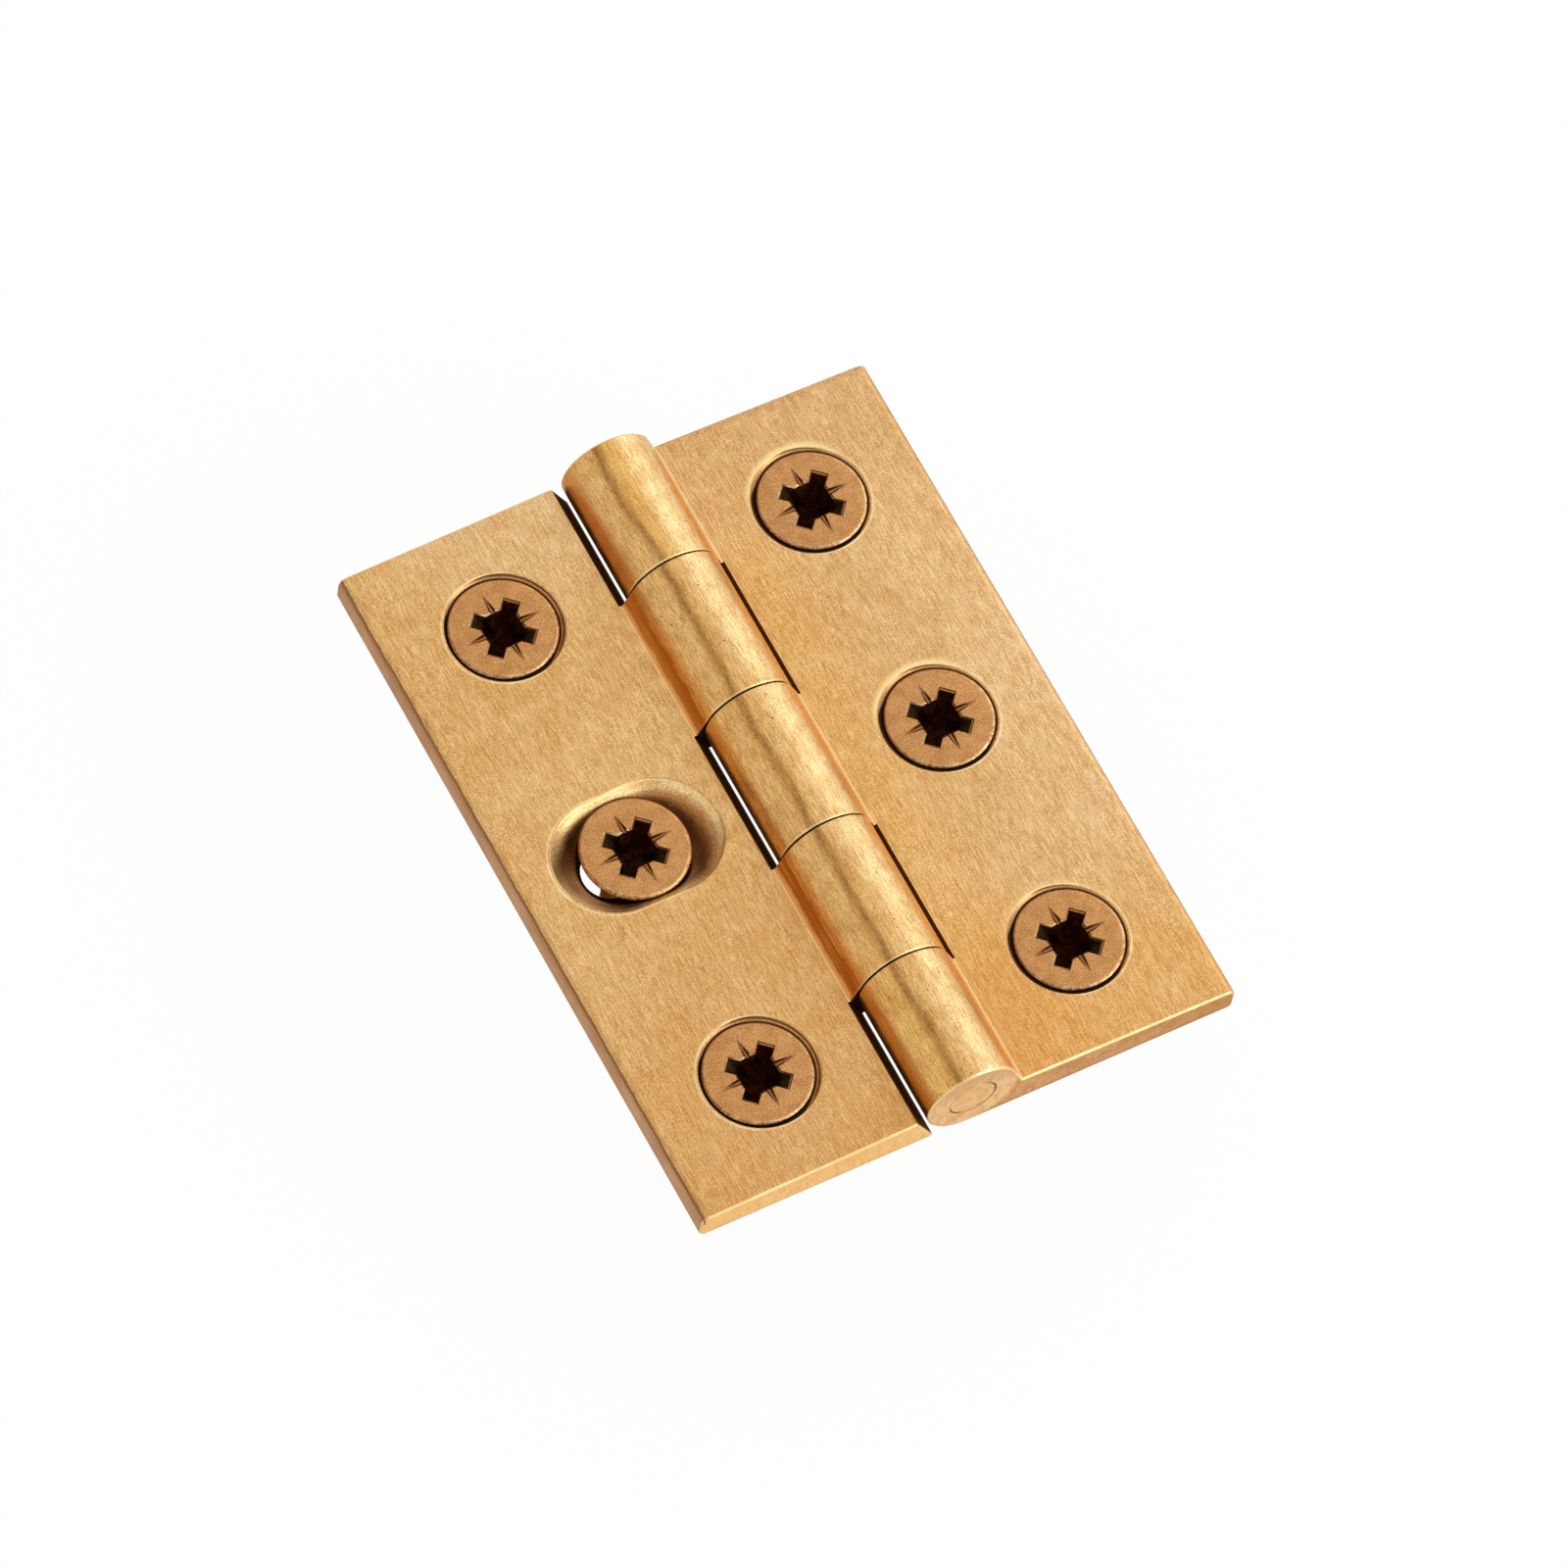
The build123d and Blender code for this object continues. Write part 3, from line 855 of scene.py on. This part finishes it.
def shank_root(height):
    """The radius between the threads, which shrinks to the point."""
    if height >= POINT_TOP:
        return THREAD_ROOT
    left = max(0.0, (height + SCREW_LENGTH) / (POINT_TOP + SCREW_LENGTH))
    return TIP_RADIUS + (THREAD_ROOT - TIP_RADIUS) * left


def thread(bm):
    """A helical ridge on the shank, dying out at the neck and at the point."""
    total = int((THREAD_TOP - THREAD_END) / THREAD_PITCH * THREAD_STEPS)
    rows = []
    for step in range(total + 1):
        angle = 2 * math.pi * step / THREAD_STEPS
        height = THREAD_TOP - THREAD_PITCH * step / THREAD_STEPS
        taper = max(0.0, (POINT_LENGTH - SCREW_LENGTH - height) / POINT_LENGTH)
        root = shank_root(height) - THREAD_SUNK
        crest = SHANK_RADIUS - taper * (SHANK_RADIUS - POINT_RADIUS) - CREST_SHORT
        run_in = min(1.0, step / (THREAD_RUN_IN * THREAD_STEPS))
        crest = root + CREST_LEAST + (crest - root - CREST_LEAST) * run_in
        foot = THREAD_FOOT * (0.35 + 0.65 * (1 - taper))
        shoulder = crest - CREST_DROP
        row = []
        for radius, shift in ((root, foot), (shoulder, CREST_HALF), (crest, 0),
                              (shoulder, -CREST_HALF), (root, -foot)):
            row.append(bm.verts.new((radius * math.cos(angle), radius * math.sin(angle),
                                     height + shift * THREAD_FLATTENED)))
        rows.append(row)
    for above, below in zip(rows, rows[1:]):
        for step in range(len(above)):
            after = (step + 1) % len(above)
            bm.faces.new((above[step], above[after], below[after], below[step]))
    bm.faces.new(rows[0][::-1])
    bm.faces.new(rows[-1])


def screw_body(bm):
    slope_end = -HEAD_LAND - (HEAD_RADIUS - NECK_RADIUS)
    outline = [(0, 0), (HEAD_RADIUS - HEAD_ROUND, 0)]
    for inward, down in HEAD_CURVE:
        outline.append((HEAD_RADIUS - inward * HEAD_ROUND, -down * HEAD_ROUND))
    outline += [
        (HEAD_RADIUS, -HEAD_LAND),
        (NECK_RADIUS + 0.12, slope_end + 0.12),
        (NECK_RADIUS, slope_end - 0.15),
        (NECK_RADIUS, -NECK_LENGTH),
        (THREAD_ROOT, -NECK_LENGTH - 0.1),
        (THREAD_ROOT, POINT_TOP),
        (TIP_RADIUS, 0.05 - SCREW_LENGTH),
        (0, -SCREW_LENGTH),
    ]
    turned(bm, outline, BODY_STEPS)


def wing_cutter(bm):
    slope = (WING_REACH - WING_FLOOR) / RECESS_DEPTH
    for turn in (0, QUARTER_TURN):
        prism(bm, rectangle(WING_REACH + slope * RECESS_RISE, WING_HALF + 0.02 * RECESS_RISE,
                            RECESS_RISE, turn),
              rectangle(WING_FLOOR, WING_HALF - 0.04, -RECESS_DEPTH, turn))


def lip_cutter(bm):
    """The recess's upper edges, broken all round."""
    out = LIP + LIP_RISE
    for turn in (0, QUARTER_TURN):
        prism(bm, rectangle(WING_REACH + out, WING_HALF + out, LIP_RISE, turn),
              rectangle(WING_REACH, WING_HALF, -LIP, turn))
    prism(bm, rectangle(CORE_REACH + out, CORE_REACH + out, LIP_RISE, EIGHTH_TURN),
          rectangle(CORE_REACH, CORE_REACH, -LIP, EIGHTH_TURN))


def core_cutter(bm):
    top = CORE_REACH + (CORE_REACH - CORE_FLOOR) / RECESS_DEPTH * RECESS_RISE
    prism(bm, rectangle(top, top, RECESS_RISE, EIGHTH_TURN),
          rectangle(CORE_FLOOR, CORE_FLOOR, -RECESS_DEPTH - 0.05, EIGHTH_TURN))


def mark_cutter(bm):
    """Four wedges between the wings, shallow at their outer tip."""
    outline = ((MARK_START, -MARK_HALF), (MARK_END, 0), (MARK_START, MARK_HALF))
    for wing in range(4):
        corners = [swung(x, y, EIGHTH_TURN + wing * QUARTER_TURN) for x, y in outline]
        prism(bm, [(*corner, MARK_RISE) for corner in corners],
              [(*corner, -MARK_DEPTH * share) for corner, share in zip(corners, (1, 0.25, 1))])


def cut(target, cutter):
    modifier = target.modifiers.new("cut", "BOOLEAN")
    modifier.operation = "DIFFERENCE"
    modifier.solver = "EXACT"
    modifier.use_self = True
    modifier.object = cutter


def screw_mesh():
    body = mesh_object("screw_body", screw_body)
    cutters = [mesh_object("wings", wing_cutter), mesh_object("core", core_cutter),
               mesh_object("lip", lip_cutter), mesh_object("marks", mark_cutter)]
    for cutter in cutters:
        cut(body, cutter)
    evaluated = body.evaluated_get(bpy.context.evaluated_depsgraph_get())
    bm = bmesh.new()
    bm.from_mesh(evaluated.to_mesh())
    evaluated.to_mesh_clear()
    thread(bm)
    bmesh.ops.rotate(bm, verts=bm.verts, cent=(0, 0, 0), matrix=Matrix.Rotation(WING_TURN, 3, "Z"))
    bmesh.ops.scale(bm, verts=bm.verts, vec=(MM, MM, MM))
    mesh = bpy.data.meshes.new("screw")
    bm.to_mesh(mesh)
    bm.free()
    for old in [body] + cutters:
        data = old.data
        bpy.data.objects.remove(old)
        bpy.data.meshes.remove(data)
    mesh.shade_smooth()
    mesh.set_sharp_from_angle(angle=SHARP_ANGLE)
    return mesh


# Colours of the screws
SCREW_PALE = colour(208, 152, 94)
SCREW_DULL = colour(192, 135, 80)
SCREW_SPECK = colour(178, 122, 74)
SCREW_SCRATCH = colour(184, 128, 78)
SCORED = colour(84, 38, 14)
RECESS_SHADE = colour(38, 10, 3)
RECESS_SHADE_BROWN = colour(54, 28, 12)
WING_END_REFLECTION = colour(70, 55, 27)
CHAMFER_SHADE = colour(92, 50, 24)
CHAMFER_HIGHLIGHT = colour(255, 226, 176)
UNDER_HEAD_SHADE = colour(120, 68, 34)
NECK_SHADE = colour(64, 32, 14)
HEAD_RIM_HIGHLIGHT = colour(255, 222, 164)
RIM_SPECK = colour(150, 88, 44)
HEAD_RIM_SHADE = colour(126, 64, 28)
SCREW_SHADE = colour(70, 32, 10)


class Screw:
    """The places, noises and masks that the screws' finishes share; each screw has its seed.

    aside is a place's distance from the middle line of one pair of wings, along from the other's.
    """

    def __init__(self, t):
        self.t = t
        place, (self.x, self.y, self.z) = place_of(t, 0.0)
        self.nx, self.ny, self.nz = facing_of(t)
        seed = t.add("ShaderNodeAttribute", attribute_type="OBJECT", attribute_name="seed")
        seed = seed.outputs["Fac"]
        self.place = t.vector("ADD", place, t.add("ShaderNodeCombineXYZ", seed, seed, seed))
        cosine, sine = math.cos(WING_TURN), math.sin(WING_TURN)
        self.along = t.absolute(t.plus(t.times(self.x, cosine), t.times(self.y, sine)))
        self.aside = t.absolute(t.minus(t.times(self.y, cosine), t.times(self.x, sine)))
        self.middle = t.distance(self.x, self.y)
        self.blotch = t.noise(self.place, 1.1, 4, 0.6, 0.3)
        self.speck = t.noise(self.place, 5.0, 3, 0.6)
        self.grain = t.noise(t.scaled(self.place, (2.2, 9.0, 2.2)), 1.0, 4, 0.7)
        self.stain = t.noise(self.place, 2.0, 3, 0.6)
        self.recess = t.both(t.span(self.z, -0.05, -0.16), t.inside(self.middle, 2.4),
                             t.span(self.z, -3.0, -2.9))


def screw_face(s):
    """The turned brass of the heads."""
    t = s.t
    face = t.mix(t.span(s.blotch, 0.36, 0.66), SCREW_PALE, SCREW_DULL)
    face = t.mix(t.span(s.speck, 0.52, 0.7, 0, 0.4), face, SCREW_SPECK)
    face = t.mix(t.span(s.grain, 0.35, 0.55, 0.25, 0), face, SCREW_SCRATCH)
    return textured(t, face, t.noise(s.place, 10.0, 1, 0.5), 0.3, 0.7)


def with_marks(s, face):
    """The marks between the wings, darkest along their sides."""
    t = s.t
    out = t.times(t.plus(s.along, s.aside), math.sqrt(0.5))
    off = t.absolute(t.times(t.minus(s.along, s.aside), math.sqrt(0.5)))
    half = t.times(t.minus(MARK_END, out), MARK_HALF / (MARK_END - MARK_START))
    scored = t.both(t.span(t.apart(off, half), 0.04, 0.1, 1, 0),
                    t.span(out, MARK_END + 0.05, 1.6, 0, 1), t.span(s.z, -0.3, -0.15))
    return t.mix(scored, face, SCORED)


def with_recess(s, face):
    """Painted shade in the recess, a dim painted reflection on the wings' ends, and its broken
    edges with a painted highlight on one side.
    """
    t = s.t
    # Painted shade, near black, filling the recess
    shaded_recess = t.mix(t.span(s.stain, 0.45, 0.65), RECESS_SHADE, RECESS_SHADE_BROWN)
    # Dim painted reflection on the wings' end walls
    wing_ends = t.both(t.span(s.aside, 1.3, 1.5), t.inside(t.absolute(s.nz), 0.75, 0.05),
                       t.span(s.stain, 0.4, 0.55, 1, 0.4))
    shaded_recess = t.mix(t.times(wing_ends, 0.85), shaded_recess, WING_END_REFLECTION)
    face = t.mix(s.recess, face, shaded_recess)
    # The recess's chamfered edges: painted highlight where they face lower right, strongest on the
    # left wing, painted shade on the rest
    chamfer = t.both(t.inside(t.apart(s.nz, 0.7), 0.15, 0.03), t.inside(s.middle, 2.5),
                     t.span(s.z, -LIP - 0.05, -LIP))
    left_wing = t.minus(t.times(s.y, 0.6), s.x)
    chamfer_lit = t.both(t.span(t.towards(LOWER_RIGHT, s.nx, s.ny), 0.3, 0.55),
                      t.span(left_wing, 0.4, 0.9, 0.1, 1), t.span(s.stain, 0.35, 0.5, 1, 0.5))
    return t.mix(chamfer, face, t.mix(chamfer_lit, CHAMFER_SHADE, CHAMFER_HIGHLIGHT))


def with_under_head(s, face):
    """The head's cone and the neck, with painted shade under the head and down the neck."""
    t = s.t
    # Painted shade under the head
    under = t.both(t.span(s.z, -0.12, -0.2), t.span(s.middle, 2.4, 2.5))
    face = t.mix(t.times(under, 0.85), face, UNDER_HEAD_SHADE)
    # Painted shade down the neck
    neck = t.both(t.span(s.z, -2.6, -2.8),
                  t.span(s.z, -NECK_LENGTH - 4.5, -NECK_LENGTH - 1.5, 0, 0.8))
    return t.mix(neck, face, NECK_SHADE)


def with_rim(s, face):
    """The head's rim, with a painted highlight on the lower right and painted shade on the lower
    left.
    """
    t = s.t
    above = t.span(s.z, -0.26, -0.2)
    # Painted highlight on the rim's lower right, with darker specks
    bright = t.both(t.span(s.middle, HEAD_RADIUS - 0.27, HEAD_RADIUS - 0.15), above,
                    t.span(s.blotch, 0.32, 0.62, 1, 0.4),
                    t.span(t.minus(t.times(s.nx, 0.3), s.ny), -0.3, 0.3, 0.1, 1))
    bright_edge = t.mix(t.span(s.speck, 0.5, 0.62, 0, 0.8), HEAD_RIM_HIGHLIGHT, RIM_SPECK)
    face = t.mix(bright, face, bright_edge)
    # Painted shade on the rim's lower left
    head_rim_shaded = t.both(t.span(s.middle, HEAD_RADIUS - 0.3, HEAD_RADIUS - 0.12), above,
                     t.span(t.towards(LOWER_LEFT, s.nx, s.ny), 0.05, 0.35, 0, 0.7),
                     t.span(s.speck, 0.35, 0.55, 0.5, 1))
    return t.mix(head_rim_shaded, face, HEAD_RIM_SHADE)


def screw_material():
    brass, t = material("screw_brass")
    s = Screw(t)
    face = screw_face(s)
    for add in (with_marks, with_recess, with_under_head, with_rim):
        face = add(s, face)

    bright_edge, rounded = worn_edges(t, SCREW_BEVEL)
    open_air = crevices(t, SCREW_CREVICE)
    # Painted highlight on the head's sharp edges
    lit = t.both(bright_edge, t.span(open_air, 0.5, 0.75), t.span(s.z, -0.2, -0.08),
                 t.span(s.blotch, 0.35, 0.6, 1, 0.4), t.span(s.middle, 2.4, 2.8))
    face = t.mix(t.times(lit, 0.8), face, CHAMFER_HIGHLIGHT)
    face = t.mix(t.span(open_air, 0.1, 0.6, 0.7, 0), face, t.mix(0.8, face, SCREW_SHADE))
    bump = t.add("ShaderNodeBump", named={"Height": t.plus(s.speck, s.grain), "Strength": 0.3,
                                          "Distance": BUMP_DEPTH, "Normal": rounded})
    finish(t, face, t.inverse(t.times(s.recess, 0.8)), 0.42, bump.outputs[0])
    return brass


def dress(node, new):
    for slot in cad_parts[node].material_slots:
        slot.material = new


def add_screws():
    mesh = screw_mesh()
    mesh.materials.append(screw_material())
    for index, (node, (x, y, rim_radius)) in enumerate(SCREW_PLACES.items()):
        screw = bpy.data.objects.new(node + "_threaded", mesh)
        screw["seed"] = 7.3 * index
        rest = leaf_top(abs(x)) - (rim_radius - HEAD_RADIUS) + HEAD_CLEARANCE + HEAD_LAND
        screw.location = (x * MM, y * MM, rest * MM)
        bpy.context.scene.collection.objects.link(screw)
        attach(screw, "frame" if x > 0 else "door")
        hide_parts(node)


dress("frame_leaf", leaf_material("frame_leaf_brass", 3.0, 1, False))
dress("door_leaf", leaf_material("door_leaf_brass", 11.0, -1, True))
dress("hinge_pin", pin_material())
add_screws()


# Floor, world and lamps
FLOOR_HALF = 1.5
FLOOR_GLOW = 0.96
TENT_TOP = 0.97
TENT_RIGHT = 1.05
TENT_LEFT = 0.88
TENT_STRIP = 0.56
TENT_BACK = 0.3
STRIP_ANGLE = -24
LAMP_DISTANCE = 0.9


def add_floor():
    level = cad_box[0][2]
    corners = [(across * FLOOR_HALF, along * FLOOR_HALF, level)
               for across, along in ((-1, -1), (1, -1), (1, 1), (-1, 1))]
    mesh = bpy.data.meshes.new("floor")
    mesh.from_pydata(corners, [], [(0, 1, 2, 3)])
    floor = bpy.data.objects.new("floor", mesh)
    bpy.context.scene.collection.objects.link(floor)
    paper, t = material("floor_white")
    rays = t.tree.nodes.new("ShaderNodeLightPath").outputs
    seen = t.either(rays["Is Camera Ray"],
                    t.either(rays["Is Glossy Ray"], rays["Is Transmission Ray"]))
    matte = t.add("ShaderNodeBsdfDiffuse", (0.9, 0.9, 0.9, 1))
    glow = t.add("ShaderNodeEmission", (1, 1, 1, 1), 1.0)
    surface = t.add("ShaderNodeMixShader", t.times(seen, FLOOR_GLOW), matte, glow)
    t.add("ShaderNodeOutputMaterial", surface)
    mesh.materials.append(paper)


def add_world():
    """A soft white tent, with a darker strip along the pin's left that shapes the barrel."""
    world = bpy.data.worlds.new("studio")
    bpy.context.scene.world = world
    world.use_nodes = True
    t = Tree(world.node_tree)
    direction = t.tree.nodes.new("ShaderNodeTexCoord").outputs["Generated"]
    across, along, up = t.add("ShaderNodeSeparateXYZ", direction).outputs
    angle = t.times(t.math("ARCTAN2", across, up), 180 / math.pi)
    top = t.span(angle, 25, 60, TENT_TOP, TENT_RIGHT)
    strip = t.span(t.apart(angle, STRIP_ANGLE), 2, 13, TENT_STRIP, 1)
    left = t.span(angle, -15, -80, 1, TENT_LEFT)
    back = t.both(t.span(along, 0.5, 0.7), t.span(up, 0.45, 0.2), 1 - TENT_BACK)
    light = t.both(top, strip, left, t.inverse(back))
    seen = t.tree.nodes.new("ShaderNodeLightPath").outputs["Is Camera Ray"]
    strength = t.plus(t.times(light, t.inverse(seen)), seen)
    t.add("ShaderNodeOutputWorld", t.add("ShaderNodeBackground", (1, 1, 1, 1), strength))


def add_lamp(name, toward, width, height, power):
    data = bpy.data.lights.new(name, "AREA")
    data.shape = "RECTANGLE"
    data.size = width
    data.size_y = height
    data.energy = power
    lamp = bpy.data.objects.new(name, data)
    direction = Vector(toward).normalized()
    lamp.location = direction * LAMP_DISTANCE
    lamp.rotation_euler = direction.to_track_quat("Z", "Y").to_euler()
    bpy.context.scene.collection.objects.link(lamp)


add_floor()
add_world()
add_lamp("key", (0.74, 0.42, 0.52), width=0.6, height=0.6, power=0.5)
add_lamp("front", (0.58, -0.7, 0.42), width=0.5, height=0.6, power=2.4)
bpy.context.scene.view_settings.view_transform = "Standard"
